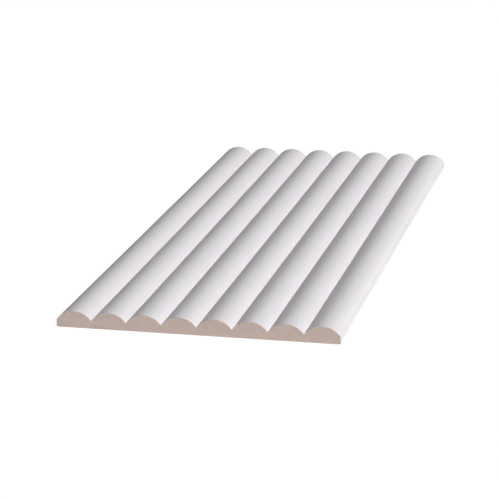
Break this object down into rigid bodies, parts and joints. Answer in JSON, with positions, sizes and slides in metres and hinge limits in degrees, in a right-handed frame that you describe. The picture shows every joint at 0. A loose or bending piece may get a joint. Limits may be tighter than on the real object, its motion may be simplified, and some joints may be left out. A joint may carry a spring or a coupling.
{
  "type": "reeded wall panel",
  "caption": "Flat-backed MDF board with a face of parallel half-round beads and square butting edges, primed white, glued to a wall as decorative cladding.",
  "frame": {"origin": "middle of the flat back, which lies on Z = 0", "axes": "+Z from the back to the beaded face, +Y along the beads, +X across the width"},
  "size_m": [0.2, 0.475, 0.012],
  "materials": {
    "primed_mdf": "smooth matt white primer on the beads and side edges; the sawn ends and the back are raw pinkish-tan MDF"
  },
  "bodies": {
    "root": {"reeded_panel": "primed_mdf"}
  },
  "joints": []
}
